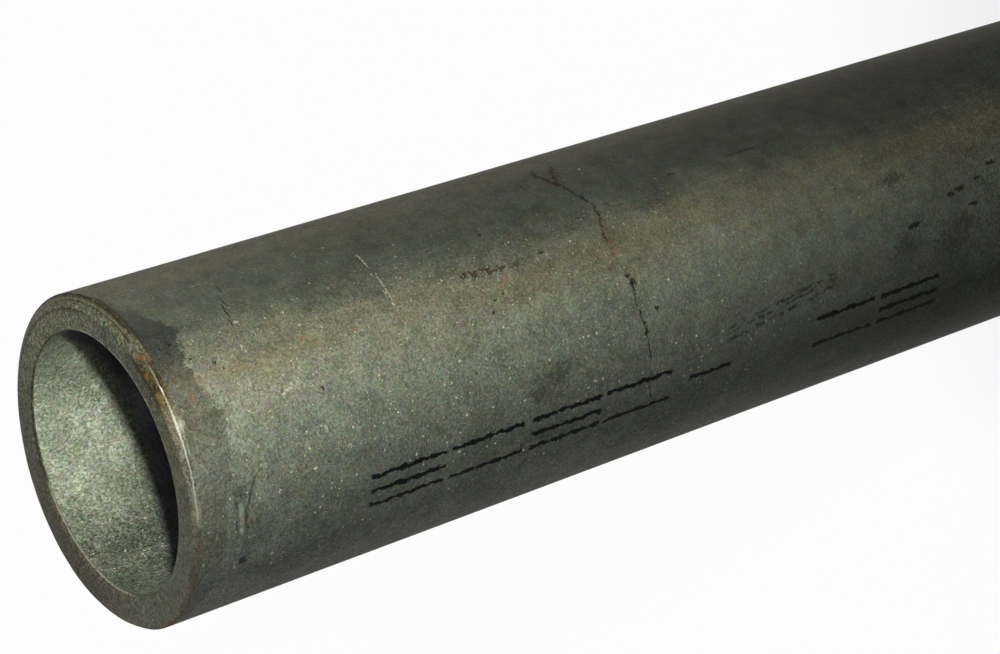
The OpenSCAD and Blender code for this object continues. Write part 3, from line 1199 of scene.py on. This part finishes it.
def bore_zinc():
    """Zinc on the bore's wall: paler and coarsely grained, with painted shade further in and the rim's
    painted shadow.
    """
    n = Nodes("bore_zinc")
    at = pipe_places(n)
    angle = at["angle"]
    depth = at["depth"]
    place = at["place"]
    pale = n.rise(n.noise(place, 0.35, 4.0, 0.6), 0.35, 0.65)
    colour = n.mix(pale, srgb(*BORE_DIM), srgb(*BORE_PALE))
    colour = n.shade(colour, n.mul(n.curve(angle, BORE_ROUND), n.curve(depth, BORE_INWARD_SHADE)))
    colour = n.tint(colour, place, 0.7, (0.14, 0.12, 0.22), (3.0, 3.0, 0.0))
    # Painted shadow of the rim: from a depth that changes round the bore, the wall is tinted bluer, and
    # near the top it is darker
    in_shadow = n.rise(n.sub(depth, n.curve(angle, BORE_SHADOW_DEPTH)), -0.8, 0.8)
    shadow_tint = n.mul(in_shadow, n.rise(depth, 16.0, 11.0))
    colour = n.mix(shadow_tint, colour, n.vector("MULTIPLY", colour, SHADOW_TINT_FACTORS))
    close = n.mul(in_shadow, n.window(angle, -150.0, -60.0, 12.0))
    colour = n.shade(colour, n.line(close, -0.68, 1.0))
    # The grain is coarse on the lower part, and weak in the painted shadow
    coarse = n.window(angle, 92.0, 158.0, 14.0)
    flecks = n.most(0.35, n.mul(coarse, 1.9))
    level = n.mul(n.line(coarse, 0.22, 0.78), n.line(in_shadow, -0.5, 1.0))
    strokes = n.vector("MULTIPLY", place, (1.0, 1.0, 0.78))
    colour, fine, lumps = grain(n, colour, strokes, 1.60, BORE_GLINT, flecks, level)
    height = n.add(fine, n.mul(lumps, 0.6))
    return n.surface(colour, 0.6, n.bump(height, 0.8, BORE_RELIEF))


# Scene, in metres and in the frame's own axes

# Camera: place in millimetres and axes, fitted to the pipe's outline and rims in the photograph
LENS = 103.65
SENSOR_WIDTH = 36.0
CAMERA_PLACE = Vector((101.71, -172.53, 247.41))
CAMERA_RIGHT = Vector((0.0, -0.61984, -0.78473))
CAMERA_UP = Vector((0.90835, 0.32817, -0.25922))
# Floor: half its width, how far it lies below the pipe, its grey, and how white the camera sees it, near
# the pipe, where less white gives a painted shade round the base, and away from it, where that shade has
# faded out
FLOOR_HALF = 4.0
FLOOR_GAP = 0.00005
FLOOR_GREY = (0.95, 0.95, 0.95, 1.0)
WHITE_NEAR = 0.67
WHITE_AWAY = 0.96
SHADOW_FROM = 0.012
SHADOW_TO = 0.085
# Light of the world, and the lamps: direction from the top end, distance, size, level, spread and gain
WORLD_LEVEL = 0.14
LAMPS = {
    "key": ((0.5719, -0.7427, 0.3483), 0.17, 0.0085, 0.86, 80.0, 5.6),
    "back": ((-0.55, 0.84, 0.10), 1.0, 0.8, 0.45, 180.0, 1.0),
}


def link(thing):
    bpy.context.scene.collection.objects.link(thing)


def floor_material():
    """A pale floor that the camera sees as white, apart from a painted grey shade round the pipe's base,
    where the real shadow shows too.
    """
    n = Nodes("floor")
    path = n.node("ShaderNodeLightPath")
    rays = ("Is Camera Ray", "Is Glossy Ray", "Is Transmission Ray")
    seen = n.most(*(path.outputs[name] for name in rays))
    diffuse = n.node("ShaderNodeBsdfDiffuse")
    diffuse.inputs["Color"].default_value = FLOOR_GREY
    white = n.node("ShaderNodeEmission")
    white.inputs["Strength"].default_value = 1.0
    spot = n.node("ShaderNodeSeparateXYZ")
    n.feed(spot.inputs[0], n.node("ShaderNodeTexCoord").outputs["Object"])
    x = spot.outputs[0]
    y = spot.outputs[1]
    away = n.math("SQRT", n.add(n.mul(x, x), n.mul(y, y)))
    # Painted shade: near the base the camera sees less white and more of the lit floor
    share = n.line(n.rise(away, SHADOW_FROM, SHADOW_TO), WHITE_AWAY - WHITE_NEAR, WHITE_NEAR)
    both = n.node("ShaderNodeMixShader")
    n.feed(both.inputs[0], n.mul(seen, share))
    n.tree.links.new(diffuse.outputs[0], both.inputs[1])
    n.tree.links.new(white.outputs[0], both.inputs[2])
    n.tree.links.new(both.outputs[0], n.output.inputs["Surface"])
    return n.material


def make_camera():
    data = bpy.data.cameras.new("camera")
    data.lens = LENS
    data.sensor_width = SENSOR_WIDTH
    data.clip_start = 0.005
    data.clip_end = 20.0
    camera = bpy.data.objects.new("camera", data)
    back = CAMERA_RIGHT.cross(CAMERA_UP)
    spot = CAMERA_PLACE * MM
    rows = [(CAMERA_RIGHT[i], CAMERA_UP[i], back[i], spot[i]) for i in range(3)]
    camera.matrix_world = Matrix([*rows, (0.0, 0.0, 0.0, 1.0)])
    link(camera)
    bpy.context.scene.camera = camera


def make_floor():
    mesh = bpy.data.meshes.new("floor")
    corners = [(x * FLOOR_HALF, y * FLOOR_HALF, 0) for x, y in ((-1, -1), (1, -1), (1, 1), (-1, 1))]
    mesh.from_pydata(corners, [], [(0, 1, 2, 3)])
    mesh.materials.append(floor_material())
    floor = bpy.data.objects.new("floor", mesh)
    link(floor)
    floor.location.z = -FLOOR_GAP


def area_lamp(name, direction, distance, size, level, spread, gain):
    """A round soft lamp aimed at the top end; level 1 lights a white face there as white.

    A lamp with a narrow spread is brighter on its axis, by the gain."""
    target = Vector((0.0, 0.0, LENGTH * MM))
    direction = Vector(direction).normalized()
    data = bpy.data.lights.new(name, "AREA")
    data.shape = "DISK"
    data.size = size
    data.energy = level * math.pi * math.pi * distance ** 2 / gain
    data.spread = math.radians(spread)
    lamp = bpy.data.objects.new(name, data)
    lamp.location = target + direction * distance
    lamp.rotation_mode = "QUATERNION"
    lamp.rotation_quaternion = direction.to_track_quat("Z", "Y")
    lamp.visible_camera = False
    link(lamp)


def make_world():
    """Plain white fill; the camera and reflections see white."""
    world = bpy.data.worlds.new("world")
    bpy.context.scene.world = world
    world.use_nodes = True
    tree = world.node_tree
    tree.nodes.clear()
    path = tree.nodes.new("ShaderNodeLightPath")
    seen = path.outputs["Is Camera Ray"]
    for name in ("Is Glossy Ray", "Is Transmission Ray"):
        most = tree.nodes.new("ShaderNodeMath")
        most.operation = "MAXIMUM"
        tree.links.new(seen, most.inputs[0])
        tree.links.new(path.outputs[name], most.inputs[1])
        seen = most.outputs[0]
    strength = tree.nodes.new("ShaderNodeMapRange")
    tree.links.new(seen, strength.inputs["Value"])
    strength.inputs["To Min"].default_value = WORLD_LEVEL
    strength.inputs["To Max"].default_value = 1.0
    light = tree.nodes.new("ShaderNodeBackground")
    tree.links.new(strength.outputs["Result"], light.inputs["Strength"])
    output = tree.nodes.new("ShaderNodeOutputWorld")
    tree.links.new(light.outputs[0], output.inputs["Surface"])


bpy.context.scene.view_settings.view_transform = "Standard"
make_camera()
make_floor()
make_world()
for lamp_name, settings in LAMPS.items():
    area_lamp(lamp_name, *settings)
pipe = pipe_piece([outside_zinc(), cut_end(), bore_zinc()])
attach(pipe, "root")
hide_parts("pipe")
